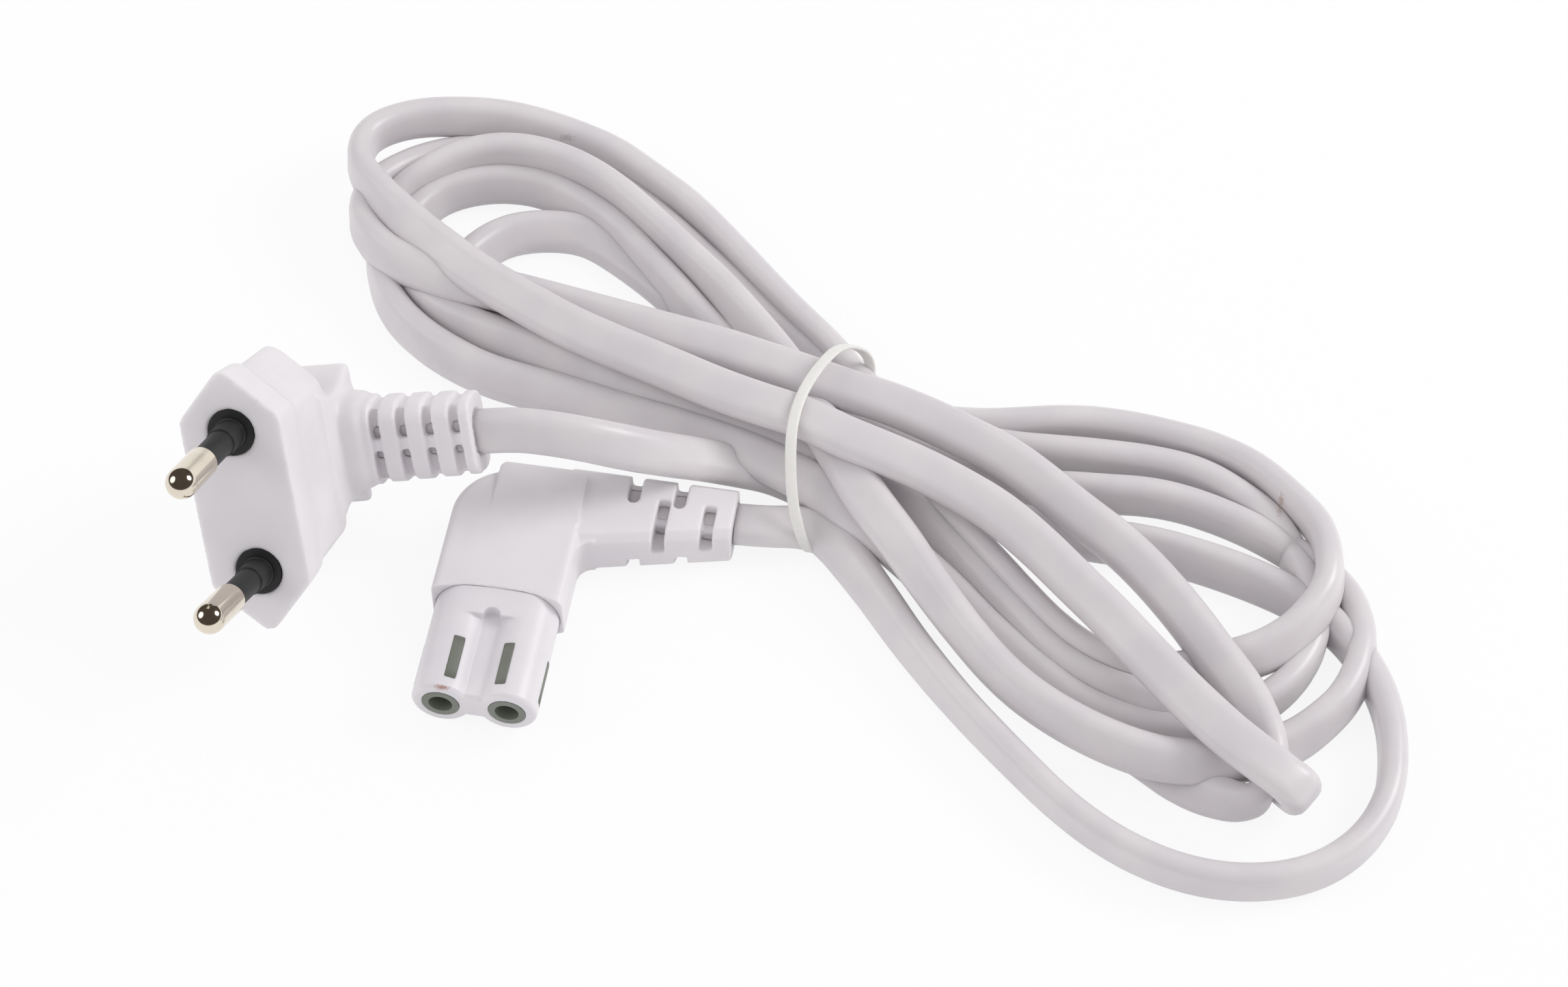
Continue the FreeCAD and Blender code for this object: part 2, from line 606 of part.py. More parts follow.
def plug_place(solid):
    """The plug's pose: turned as it lies, then set down so that its lowest corner is on the floor."""
    turn = FreeCAD.Rotation(PLUG_YAW, PLUG_PITCH, PLUG_ROLL)
    turned = solid.copy()
    turned.Placement = FreeCAD.Placement(vec(0, 0, 0), turn)
    drop = -turned.optimalBoundingBox().ZMin
    return FreeCAD.Placement(vec(PLUG_FACE_X, PLUG_FACE_Y, drop), turn)


def waist_place():
    """Frame of the tied waist: its section stands across the bundle's axis."""
    turn = FreeCAD.Rotation(vec(0, 0, 1), 90).multiply(FreeCAD.Rotation(vec(1, 0, 0), 90))
    return FreeCAD.Placement(vec(WAIST_X, WAIST_Y, 0), turn)


def waist_prism(grow, half_length):
    wire = rounded_wire([vec(s, h) for s, h in WAIST_SECTION], WAIST_ROUNDING)[0]
    if grow:
        wire = wire.makeOffset2D(grow)
    face = Part.Face(wire)
    face.translate(vec(0, 0, -half_length))
    solid = face.extrude(vec(0, 0, 2 * half_length))
    solid.Placement = waist_place().multiply(solid.Placement)
    return solid


def hank():
    """One closed solid of the hank: two fans of loops, the strands on top, and the tied waist."""
    loops = prism(HANK_OUTLINE, HANK_HEIGHT)
    for opening in (LEFT_OPENING, FRONT_OPENING, RIGHT_OPENING):
        loops = loops.cut(prism(opening, HANK_HEIGHT))
    ridge = prism(RIDGE_OUTLINE, RIDGE_HEIGHT)
    for opening in (LEFT_OPENING, FRONT_OPENING):
        ridge = ridge.cut(prism(opening, RIDGE_HEIGHT))
    solid = loops.fuse(ridge)
    gap = waist_room()
    return solid.cut(gap).fuse(waist_prism(0, WAIST_HALF_LENGTH)).removeSplitter()


def waist_room():
    """All space round the waist, so that the loops leave it only through its section."""
    far = 2 * HANK_HEIGHT + 40
    room = Part.makeBox(far, far, 2 * WAIST_HALF_LENGTH, vec(-far / 2, -far / 2, -WAIST_HALF_LENGTH))
    room.Placement = waist_place().multiply(room.Placement)
    return room


def elastic_band():
    return waist_prism(BAND_THICKNESS, BAND_WIDTH / 2).cut(waist_prism(0, BAND_WIDTH))


def cord_tube(points, wide, label):
    """A flat tube along straight runs joined by tangent arcs; prints its radii and its volume's share."""
    path, radii = rounded_wire(points, None, closed=False)
    along = (points[1] - points[0]).normalize()
    thin = along.cross(wide).normalize()
    across = thin.cross(along).normalize()
    section = flat_section(points[0], across, thin)
    tube = path.makePipeShell([section], True, False)
    share = tube.Volume / (Part.Face(section).Area * path.Length)
    radii = [round(r, 1) for r in radii]
    print(label, "length %.1f" % path.Length, "radii", radii, "volume share %.3f" % share)
    return tube


def frame_origin():
    """The floor under the middle of the connector's bounding box."""
    back = max(BODY_LENGTH + PAD_RAISE, RELIEF_FAR)
    return vec((RELIEF_END - body_half_width()) / 2, back / 2, 0)


def main():
    os.makedirs("parts", exist_ok=True)
    connector = {
        "connector_nose": nose(),
        "connector_overmould": connector_overmould(),
        "contact_carrier": contact_carrier(),
        "contact_left": contact(-SOCKET_PITCH / 2),
        "contact_right": contact(SOCKET_PITCH / 2),
        "connector_core_left": connector_core(-1),
        "connector_core_right": connector_core(1),
        "connector_jacket": connector_jacket(),
    }
    plug = {
        "plug_overmould": plug_overmould(),
        "plug_bridge": pin_bridge(),
        "plug_pin_upper": pin(1),
        "plug_pin_lower": pin(-1),
        "plug_sleeve_upper": sleeve(1),
        "plug_sleeve_lower": sleeve(-1),
        "plug_core_upper": plug_core(1),
        "plug_core_lower": plug_core(-1),
        "plug_jacket": plug_jacket(),
    }
    place = plug_place(plug["plug_overmould"])
    for solid in plug.values():
        solid.Placement = place.multiply(solid.Placement)
    tied = hank()
    leave = place.multVec(vec(PLUG_RELIEF_END, 0, -PLUG_RELIEF_DEPTH))
    straight = place.Rotation.multVec(ALONG_X)
    wide = place.Rotation.multVec(ALONG_Y)
    plug_route = [leave, leave + straight * PLUG_LEAD_STRAIGHT] + [vec(*p) for p in PLUG_LEAD_POINTS]
    connector_exit = vec(RELIEF_END, RELIEF_AXIS, AXIS_Z)
    to_waist = WAIST_X - WAIST_HALF_LENGTH - RELIEF_END
    cords = {
        "cord_plug_lead": cord_tube(plug_route, wide, "plug lead").cut(tied),
        "cord_connector_lead": flat_bar(connector_exit, ALONG_X, ALONG_Y, to_waist).cut(tied),
        "cord_hank": tied,
        "elastic_band": elastic_band(),
    }
    origin = frame_origin()
    print("plug face height %.2f" % place.Base.z, "cord leaves the plug at", [round(c, 2) for c in leave])
    print("origin", origin)
    for group in (connector, plug, cords):
        for name, solid in group.items():
            moved = solid.copy()
            moved.translate(origin * -1)
            box = moved.BoundBox
            print(name, len(moved.Solids), moved.isValid(), round(moved.Volume, 1),
                  [round(v, 2) for v in (box.XMin, box.XMax, box.YMin, box.YMax, box.ZMin, box.ZMax)])
            moved.exportStep("parts/" + name + ".step")


main()
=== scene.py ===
import bmesh
import bpy
import math
from mathutils import Matrix, Vector


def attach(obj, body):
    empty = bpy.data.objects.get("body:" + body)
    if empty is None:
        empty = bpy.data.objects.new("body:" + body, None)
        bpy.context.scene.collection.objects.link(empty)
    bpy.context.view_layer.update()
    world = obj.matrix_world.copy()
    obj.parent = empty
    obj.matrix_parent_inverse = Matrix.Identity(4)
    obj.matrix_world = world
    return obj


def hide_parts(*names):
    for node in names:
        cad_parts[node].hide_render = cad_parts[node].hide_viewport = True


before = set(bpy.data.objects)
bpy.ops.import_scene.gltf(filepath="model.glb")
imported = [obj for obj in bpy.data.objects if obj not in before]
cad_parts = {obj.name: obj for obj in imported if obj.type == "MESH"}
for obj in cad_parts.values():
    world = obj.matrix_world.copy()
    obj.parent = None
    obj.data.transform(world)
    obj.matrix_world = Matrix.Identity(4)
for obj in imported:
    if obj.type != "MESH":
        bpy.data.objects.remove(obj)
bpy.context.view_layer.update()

MM = 0.001
# The connector's nose stands this far from the frame's origin, in millimetres
NOSE_AT = Vector((9.675, 18.85, 0.0))
CORD_HALF_WIDTH = 3.0
CORD_HALF_THICKNESS = 1.8

# The cord's control points from the connector to the plug, in millimetres from the nose,
# and the turn of its flat section there: 0 lies flat, 90 stands on edge
ROUTE = [
    (28, 34, 4.05, 0), (32, 34.2, 4.05, 2), (35.8, 35.1, 3.7, 6), (39.6, 35.6, 2.9, 18),
    (43.9, 31.3, 2.6, 42), (48.3, 26, 2.6, 58), (53.2, 19.6, 2.8, 70), (60.5, 11.5, 3, 80),
    (68, 4.5, 3, 85), (76, -2.5, 3, 90),
    (83.5, -7, 3, 90), (91.5, -9.5, 3, 90), (99.5, -9.5, 3, 90), (107, -7, 3, 90), (112.5, -2, 3, 90),
    (115.5, 4.5, 3, 90), (116, 11, 3, 90), (115, 18, 3, 90), (112.5, 24, 3, 92), (108.5, 29.5, 3, 95),
    (103.5, 33.5, 2.8, 105), (97.5, 36.5, 2.5, 120), (89.5, 39, 2.2, 130), (81.5, 40.5, 2, 140),
    (71.5, 40.5, 1.9, 160), (61, 42, 1.8, 175), (50, 45, 1.8, 178), (39.5, 49, 1.8, 178),
    (30, 52.5, 1.8, 178), (20, 56, 1.8, 175), (8.5, 58.5, 2, 165), (-2, 61.5, 2.4, 140),
    (-11, 64, 2.8, 110), (-16, 67, 3, 92), (-17.5, 71.5, 3, 75), (-15.5, 76, 2.8, 60),
    (-12, 80, 2.4, 45), (-6.5, 82, 2, 35), (-1, 82, 1.8, 25), (4.5, 79, 1.8, 15), (11, 74.5, 1.8, 10),
    (18.5, 68, 1.8, 5),
    (26, 60.5, 2.4, 5), (34.5, 53.5, 3.4, 10), (43.5, 47.5, 4.4, 20), (50, 42.5, 4.8, 30),
    (56, 38, 4.6, 45), (61, 33.5, 4.2, 60), (66, 29, 3.8, 75), (70.5, 25, 3.4, 80),
    (75.5, 21.5, 3.2, 80), (81.5, 19.5, 3.2, 70), (87, 19.5, 3.4, 50), (92.5, 21.5, 4.2, 40),
    (98, 23.4, 5.4, 45), (101.7, 26.3, 6.2, 55), (104.3, 30.3, 6.8, 65), (105.8, 34.5, 7.2, 75),
    (105.3, 39.5, 7, 82), (103.7, 44.1, 6.4, 85), (99.5, 49, 5.4, 88), (95, 53.5, 4.4, 90),
    (89.5, 56.5, 3.6, 90), (83.5, 58, 3.2, 90), (76, 59, 3, 90), (69, 58.5, 3, 95), (62, 56.6, 3, 105),
    (56, 55.2, 3.2, 115), (50, 54.9, 3.4, 120), (44.6, 56.6, 3.4, 120), (40.2, 60.2, 3.3, 116),
    (35.9, 65.4, 3.2, 110),
    (30.5, 70.5, 3, 100), (24.5, 76.5, 3, 95), (18.5, 82.5, 3, 95), (12.5, 88, 3.2, 98),
    (6, 92, 3.6, 102), (0, 95.5, 4.2, 106), (-6, 97, 4.8, 110), (-12, 98, 5.4, 113),
    (-17.5, 98, 6, 114), (-22.5, 97, 6.6, 112), (-27.5, 95.5, 7.2, 106), (-31.5, 93, 7.8, 98),
    (-34, 90, 8.2, 92), (-34.5, 86.5, 8.4, 88), (-33.5, 83, 8.6, 80), (-30, 79, 8.8, 62),
    (-25, 74.5, 9, 46), (-19, 70, 9.4, 38), (-12.5, 65.5, 9.8, 36), (-6, 62, 10.2, 34),
    (0.5, 58.5, 10.6, 30), (7.5, 55.5, 11.2, 26), (15.5, 52.5, 11.8, 20), (23, 49.5, 12.3, 14),
    (30, 47.5, 12.6, 10),
    (35, 46.5, 12.6, 8), (40, 44.5, 12.4, 8), (45.5, 43, 12, 10), (51, 41.5, 11.4, 15),
    (56.5, 39.5, 10.8, 20), (62, 37, 10.2, 25), (67.5, 33, 9.8, 30), (73, 28, 9.6, 30),
    (78, 23.5, 9.6, 30), (83, 18.3, 9.8, 30), (89.2, 12, 10.2, 25), (95, 6.9, 10.4, 18),
    (98.8, 4.2, 10.5, 8), (102.3, 2, 10.2, 2), (104.4, 1.3, 8.8, 44), (104.6, 2.6, 5.8, 143),
    (103, 5.6, 3.2, 170), (99.8, 9.2, 1.9, 178), (95, 13, 1.9, 170), (89.5, 15.4, 1.9, 160),
    (81, 16, 2.6, 130),
    (76, 17.5, 2.8, 120), (71, 20.5, 2.8, 115), (66.5, 25, 3, 115), (61, 30, 3.2, 120),
    (55.5, 35.5, 3.6, 130), (50.5, 39.5, 4.4, 140), (45, 43, 5.4, 150), (39, 45, 6.2, 158),
    (32, 46.5, 6.8, 160), (24, 48.5, 7, 155), (17.5, 50.5, 6.8, 150), (9.5, 53, 6.2, 145),
    (2, 56, 5.4, 140), (-5, 58.5, 4.8, 130), (-11.5, 60.5, 4.2, 120), (-17.5, 63, 3.6, 110),
    (-21.5, 66, 3.2, 100), (-25, 69.5, 3, 92), (-27, 73.5, 3, 88), (-27, 77.5, 3, 80), (-25, 82, 3, 72),
    (-22.5, 85.5, 3, 68), (-18, 88, 3, 66), (-13, 89, 3, 66), (-8, 88.5, 3, 66), (-2.5, 86, 3, 68),
    (3, 82.5, 3, 70), (8, 77.5, 3, 70), (13.5, 72, 3, 60), (18.5, 66.5, 3, 50),
    (24, 61.5, 3, 40), (31.5, 56.5, 3, 30), (39, 53, 3, 20), (48.5, 49.5, 2.6, 20), (56.5, 47, 2.6, 30),
    (63.5, 46, 2.8, 45), (70.5, 47, 2.9, 60), (75.5, 47.5, 3, 75), (81, 48, 3, 80), (86, 47.5, 3, 85),
    (91.5, 46, 3, 88), (96.5, 44, 3, 90), (102, 41, 3, 90), (106.5, 38, 3, 92), (109.5, 34, 3.2, 95),
    (111, 28.5, 3.6, 98),
    (110.5, 23.5, 3.8, 100), (109, 19, 3.6, 105), (106, 15, 3.2, 112), (103, 12, 3, 125),
    (99, 9, 3.6, 140), (94.5, 6.5, 4.8, 140), (88.5, 5, 5.8, 130), (83, 5.5, 6.2, 125),
    (77, 7.5, 6.2, 120), (71, 10.5, 6.2, 115), (65.5, 14.5, 6.2, 112), (60, 20, 6.8, 115),
    (54.5, 26, 7.8, 125), (50, 31.5, 8.6, 140), (45, 37, 9, 155), (40.5, 43.5, 9, 165),
    (35, 51.5, 8.4, 170),
    (30.5, 59, 7, 150), (25.5, 65.5, 5.8, 130), (20, 72, 5.2, 110), (14, 77.5, 5.2, 100),
    (7.5, 83, 5.6, 95), (2.5, 87, 6, 92), (-3, 90, 6.3, 92), (-8, 91.5, 6.4, 95), (-12.5, 92, 6.4, 97),
    (-17, 91.5, 6.2, 98), (-21.5, 89.5, 5.8, 98), (-25, 86.5, 5.2, 97), (-28, 83.5, 4.4, 95),
    (-29.5, 79, 3.6, 92), (-29.5, 73.5, 3.2, 90), (-27.5, 68, 3, 80), (-24.5, 63, 3, 70),
    (-20, 59, 3.2, 60), (-15, 56, 3.4, 50), (-9.5, 53.5, 3.8, 45), (-3, 52, 4.2, 40),
    (3, 50.5, 4.8, 38), (10.5, 48.5, 5.4, 35), (18, 47, 6, 30), (25.5, 45, 6.4, 25),
    (32.5, 42.5, 6.4, 22), (39.5, 39.5, 6, 22), (45.5, 36, 5, 25), (51.5, 32, 4, 28), (57, 28, 3.2, 30),
    (61.5, 24, 2.6, 30), (66, 20.5, 2.4, 30), (70.5, 17, 2.4, 35), (75.5, 13.5, 2.5, 40),
    (81, 11.5, 2.7, 45), (86, 10.5, 2.8, 50), (91, 11.5, 2.8, 60), (95, 14, 2.8, 70),
    (99, 17.5, 2.8, 80), (102.2, 21.3, 2.9, 88), (104.2, 25.9, 3, 90), (104.8, 30, 3, 92),
    (104.3, 34, 3, 95),
    (102.7, 38.1, 3, 95), (100.5, 42, 3, 93), (98, 46, 3, 92), (93.5, 49.5, 3, 90), (88, 52.5, 3, 90),
    (82, 53.5, 3, 90), (75, 53.5, 3, 92), (68, 53, 3, 100), (62, 52.5, 3, 110), (55, 53, 3, 120),
    (47.5, 55.5, 2.6, 130), (40, 59, 2.2, 140),
    (33, 64.5, 2, 150), (26.5, 69.5, 1.9, 155), (20, 75.5, 1.9, 155), (13.5, 81, 1.9, 155),
    (7, 86.5, 1.9, 155), (0.5, 91, 1.9, 150), (-5.5, 94, 1.9, 145), (-11.5, 95, 2, 140),
    (-17, 94.5, 2.2, 130), (-22.5, 93, 2.6, 120), (-27, 90, 3.4, 110), (-30.5, 86, 4.4, 100),
    (-32.5, 82, 5.2, 92), (-32.5, 77, 5.8, 88), (-30.5, 73.5, 6.2, 72), (-27, 70, 6.6, 55),
    (-22.5, 68, 7, 45), (-16.5, 66, 7.4, 40), (-10, 65.5, 7.6, 36), (-2.5, 64, 8, 32),
    (6.5, 62, 8.6, 28), (13.5, 60.5, 9, 22), (21, 59, 9.4, 15), (28.5, 57, 9.8, 10),
    (34, 55.5, 10, 8), (39.5, 54, 10, 8), (45, 53, 9.8, 10), (50.5, 51.5, 9.4, 15), (56, 49.5, 9, 20),
    (61.5, 47.5, 8.6, 25), (67, 44, 8.2, 30), (72.5, 40, 7.8, 32), (78, 36.5, 7.4, 32),
    (83, 32, 7.2, 32), (88, 26.5, 7, 30), (92.3, 21, 6.8, 28), (96.2, 16.2, 6.8, 25),
    (98.9, 11.1, 6.6, 30), (100.2, 7, 6, 45), (100.2, 3.8, 4.8, 70),
    (98.7, 2.1, 3.6, 90), (95.4, 2.4, 2.6, 110), (90, 4.5, 2, 140), (85.5, 7.5, 1.9, 160),
    (80, 10.5, 1.9, 165), (74.5, 14.5, 1.9, 170), (68.5, 20, 1.9, 172), (62, 25.5, 1.9, 175),
    (56, 31.5, 1.9, 178), (50, 36.5, 1.9, 180), (44.5, 39.5, 2, 180), (39, 41.5, 2.2, 180),
    (34.3, 42.9, 2.9, 178), (30.6, 43.3, 3.9, 175), (26.1, 42.4, 5.6, 168), (22, 40.8, 8.1, 160),
    (18.6, 38.5, 11.2, 150), (15.3, 36.7, 13.8, 142), (11.8, 35.2, 16.2, 134),
    (7.8, 34.3, 17.9, 128), (3.4, 33.9, 18.7, 125), (-1.19, 33.97, 18.4, 123), (-5.55, 33.73, 17.32, 123),
]

# Elastic band round the waist, points in millimetres from the nose
BAND = [
    (38.6, 35.0, 0.5), (38.3, 33.0, 1.4), (37.4, 32.2, 3.6), (36.4, 33.2, 6.4), (35.3, 35.4, 8.8),
    (34.4, 39.2, 12.0), (33.9, 43.6, 14.6), (34.5, 48.8, 15.2), (36.2, 54.8, 14.2), (38.0, 59.2, 12.7),
    (40.4, 61.7, 9.6), (41.7, 62.3, 6.4), (41.8, 61.6, 3.0), (41.2, 57.5, 0.5), (40.3, 50.0, 0.45),
    (39.3, 42.0, 0.45),
]

# The connector's top, its half width, its arched front seam (how far the sides drop behind the
# middle, and how much of that the moulding takes back) and the raised pad at its rear
BODY_TOP = 8.1
BODY_HALF_WIDTH = 8.65
SEAM_FRONT = 16.2
SEAM_DROP = 2.6
SEAM_LIFT = 1.3
SEAM_KEPT = 19.0
PAD_FRONT = 27.3
PAD_FADE = 7.0
# The nose's round lobes and the grey windows in them, whose pads stand a little proud
LOBE_AT = 4.3
LOBE_RADIUS = 3.85
LOBE_HEIGHT = 4.05
WINDOW_AT = 3.25
WINDOW_HALF = 0.68
WINDOW_START = 1.85
WINDOW_END = 8.15
WINDOW_PROUD = 0.015
WINDOW_DEPTH = 1.2

# How the plug lies: its face's middle in millimetres from the nose, and its turn in degrees
PLUG_AT = Vector((-30.95, 13.35, 23.33))
PLUG_TURN = (3.2, -13.8, 57.3)
PIN_PITCH = 18.6
PIN_TIP_PITCH = 17.5
PIN_LENGTH = 19.0
PIN_RADIUS = 2.0
SLEEVE_LENGTH = 10.0
SLEEVE_RADIUS = 1.7
SLEEVE_BORE = 1.2
SLEEVE_BASE = 3.6
SLEEVE_BASE_MORE = 0.2
SLEEVE_LIP = 0.4
SLEEVE_SEAT = -2.2
PIN_ROOT = -9.0
PIN_EDGE = 0.08
# A run longer than this gets a bracing ring this far from each end
LONG_RUN = 0.5
BRACE = 0.06
# The room's walls stand this far away, in metres, and start this high
ROOM_RADIUS = 1.5
ROOM_EDGE = 0.06
# Each soft-edged moulding: its new skin's grid in millimetres and the rounds of smoothing on it
SOFT = {"plug_overmould": (0.26, 4), "connector_overmould": (0.18, 11), "connector_nose": (0.14, 6)}
# In the plug's own axes: where the ribs start, and where the grip's wings stand
RIBS_START = 9.8
WING_DEPTH = 17.0
WING_START = 4.6
BODY_ROUNDS = 10
WING_ROUNDS = 26
# Rings closer to the floor than this are lifted to it, in metres
FLOOR_GAP = 0.00002
# Where the camera stands, in millimetres, with its own right and backward directions
CAMERA_AT = Vector((71.4, -272.9, 399.3))
CAMERA_RIGHT = Vector((0.9871, 0.1599, 0.0))
CAMERA_BACK = Vector((0.0962, -0.5941, 0.7986))
CAMERA_LENS = 85.81
# The lamps: name, place in metres, size and power, and the point that they face
LAMPS = [("key", (0.78, 0.36, 0.62), 0.5, 4.2), ("fill", (-0.86, -0.16, 0.60), 0.7, 1.9)]
LAMPS_FACE = Vector((0.03, 0.02, 0))
SKY_COLOUR = (1.0, 0.985, 0.995, 1)
SKY_STRENGTH = 0.74
# The elastic's half width and half thickness
BAND_HALF_WIDTH = 0.75
BAND_HALF_THICKNESS = 0.3
# How much of plain white the floor mixes in where it is seen; the rest carries the shadow
FLOOR_WHITE = 0.88


def from_nose(point):
    return (Vector(point) - NOSE_AT) * MM


def srgb(text):
    """A hex colour as the linear values that the shaders take."""
    parts = [int(text[i:i + 2], 16) / 255 for i in (1, 3, 5)]
    return [c / 12.92 if c <= 0.04045 else ((c + 0.055) / 1.055) ** 2.4 for c in parts] + [1.0]


def add(tree, kind, inputs=None, **settings):
    """Adds a shader node with its settings; an input is a value or another node's socket."""
    made = tree.nodes.new(kind)
    for name, value in settings.items():
        setattr(made, name, value)
    for name, value in (inputs or {}).items():
        if isinstance(value, bpy.types.NodeSocket):
            tree.links.new(value, made.inputs[name])
        else:
            made.inputs[name].default_value = value
    return made


def new_material(name):
    mat = bpy.data.materials.new(name)
    mat.use_nodes = True
    mat.node_tree.nodes.clear()
    return mat, mat.node_tree


def moulded(name, colour, shade, roughness, grain_mm, grain_depth, bleed, marks=()):
    """Moulded plastic: a slow colour change, fine grain from the mould, and rub marks where given.
    A mark is its place, its reach each way in millimetres, its colour and its strength."""
    mat, tree = new_material(name)
    place = add(tree, "ShaderNodeTexCoord").outputs["Object"]
    slow = add(tree, "ShaderNodeTexNoise", {"Vector": place, "Scale": 1 / (9 * MM), "Detail": 3.0})
    spread = add(tree, "ShaderNodeMapRange", {"Value": slow.outputs["Fac"], "From Min": 0.35,
                                              "From Max": 0.65})
    tint = add(tree, "ShaderNodeMix", {"Factor": spread.outputs["Result"]}, data_type="RGBA")
    tint.inputs[6].default_value = srgb(colour)
    tint.inputs[7].default_value = srgb(shade)
    painted = tint.outputs[2]
    torn = add(tree, "ShaderNodeTexNoise", {"Vector": place, "Scale": 1 / (0.35 * MM), "Detail": 5.0})
    for spot, reach, stain, amount in marks:
        away = add(tree, "ShaderNodeVectorMath", {0: place, 1: from_nose(spot)}, operation="SUBTRACT")
        scaled = add(tree, "ShaderNodeVectorMath", {0: away.outputs[0], 1: Vector(reach) * MM},
                     operation="DIVIDE")
        far = add(tree, "ShaderNodeVectorMath", {0: scaled.outputs[0]}, operation="LENGTH")
        ragged = add(tree, "ShaderNodeMath", {0: torn.outputs["Fac"], 1: 1.4, 2: far.outputs["Value"]},
                     operation="MULTIPLY_ADD")
        near = add(tree, "ShaderNodeMapRange", {"Value": ragged.outputs["Value"], "From Min": 1.1,
                                                "From Max": 1.7, "To Min": amount, "To Max": 0.0})
        stained = add(tree, "ShaderNodeMix", {"Factor": near.outputs["Result"], 6: painted},
                      data_type="RGBA")
        stained.inputs[7].default_value = srgb(stain)
        painted = stained.outputs[2]
    grain = add(tree, "ShaderNodeTexNoise", {"Vector": place, "Scale": 1 / (grain_mm * MM),
                                             "Detail": 2.0})
    bump = add(tree, "ShaderNodeBump", {"Height": grain.outputs["Fac"], "Strength": 0.35,
                                        "Distance": grain_depth * MM})
    gloss = add(tree, "ShaderNodeMapRange", {"Value": slow.outputs["Fac"], "To Min": roughness - 0.06,
                                             "To Max": roughness + 0.06})
    shader = add(tree, "ShaderNodeBsdfPrincipled", {
        "Base Color": painted, "Roughness": gloss.outputs["Result"], "IOR": 1.53,
        "Subsurface Weight": bleed, "Subsurface Radius": (1.0, 0.95, 0.9), "Subsurface Scale": 1.2 * MM,
        "Normal": bump.outputs["Normal"],
    })
    out = add(tree, "ShaderNodeOutputMaterial")
    tree.links.new(shader.outputs["BSDF"], out.inputs["Surface"])
    return mat


def plated(name, colour, dull, roughness):
    """Plated or turned metal: a bright mirror with fine turning marks and a faint tarnish."""
    mat, tree = new_material(name)
    place = add(tree, "ShaderNodeTexCoord").outputs["Object"]
    cloud = add(tree, "ShaderNodeTexNoise", {"Vector": place, "Scale": 1 / (2.5 * MM), "Detail": 4.0})
    tint = add(tree, "ShaderNodeMix", {"Factor": cloud.outputs["Fac"]}, data_type="RGBA")
    tint.inputs[6].default_value = srgb(colour)
    tint.inputs[7].default_value = srgb(dull)
    fine = add(tree, "ShaderNodeTexNoise", {"Vector": place, "Scale": 1 / (0.15 * MM), "Detail": 2.0})
    bump = add(tree, "ShaderNodeBump", {"Height": fine.outputs["Fac"], "Strength": 0.12,
                                        "Distance": 0.004 * MM})
    gloss = add(tree, "ShaderNodeMapRange", {"Value": cloud.outputs["Fac"], "To Min": roughness * 0.7,
                                             "To Max": roughness * 1.4})
    shader = add(tree, "ShaderNodeBsdfPrincipled", {
        "Base Color": tint.outputs[2], "Metallic": 1.0, "Roughness": gloss.outputs["Result"],
        "Normal": bump.outputs["Normal"],
    })
    out = add(tree, "ShaderNodeOutputMaterial")
    tree.links.new(shader.outputs["BSDF"], out.inputs["Surface"])
    return mat


def elastic(name):
    """Thin cloudy elastic: lets light through and shows fine lengthwise streaks."""
    mat, tree = new_material(name)
    place = add(tree, "ShaderNodeTexCoord").outputs["Object"]
    streak = add(tree, "ShaderNodeTexNoise", {"Vector": place, "Scale": 1 / (0.4 * MM), "Detail": 3.0})
    tint = add(tree, "ShaderNodeMix", {"Factor": streak.outputs["Fac"]}, data_type="RGBA")
    tint.inputs[6].default_value = srgb("#FBFAF6")
    tint.inputs[7].default_value = srgb("#EFEEE8")
    bump = add(tree, "ShaderNodeBump", {"Height": streak.outputs["Fac"], "Strength": 0.4,
                                        "Distance": 0.05 * MM})
    shader = add(tree, "ShaderNodeBsdfPrincipled", {
        "Base Color": tint.outputs[2], "Roughness": 0.38, "IOR": 1.5, "Transmission Weight": 0.12,
        "Subsurface Weight": 0.5, "Subsurface Radius": (1.0, 1.0, 1.0), "Subsurface Scale": 1.0 * MM,
        "Normal": bump.outputs["Normal"],
    })
    out = add(tree, "ShaderNodeOutputMaterial")
    tree.links.new(shader.outputs["BSDF"], out.inputs["Surface"])
    return mat


def piece(name, bm, mat, replaced=()):
    """Turns a finished bmesh into an object at the origin that rides on the part."""
    mesh = bpy.data.meshes.new(name)
    bm.to_mesh(mesh)
    bm.free()
    for face in mesh.polygons:
        face.use_smooth = True
    mesh.materials.clear()
    mesh.materials.append(mat)
    obj = bpy.data.objects.new(name, mesh)
    bpy.context.scene.collection.objects.link(obj)
    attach(obj, "root")
    if replaced:
        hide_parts(*replaced)
    return obj


def smooth_line(points, closed=False, steps=8):
    """Points along a smooth curve that has the given points as its control points."""
    curve = bpy.data.curves.new("line", "CURVE")
    curve.dimensions = "3D"
    curve.resolution_u = steps
    spline = curve.splines.new("NURBS")
    spline.points.add(len(points) - 1)
    for knot, point in zip(spline.points, points):
        knot.co = (*point, 1.0)
    spline.order_u = 3
    spline.use_cyclic_u = closed
    spline.use_endpoint_u = not closed
    holder = bpy.data.objects.new("line", curve)
    mesh = bpy.data.meshes.new_from_object(holder)
    line = [v.co.copy() for v in mesh.vertices]
    bpy.data.meshes.remove(mesh)
    bpy.data.objects.remove(holder)
    return line


def rounded_flat(half_width, half_thickness, steps=8):
    """Offsets round a flat section with fully round edges, first point again at the end."""
    flat = half_width - half_thickness
    offsets = []
    for side in (1, -1):
        for i in range(steps + 1):
            turn = math.pi / 2 - math.pi * i / steps
            offsets.append((side * (flat + half_thickness * math.cos(turn)),
                            side * half_thickness * math.sin(turn)))
    return offsets + offsets[:1]


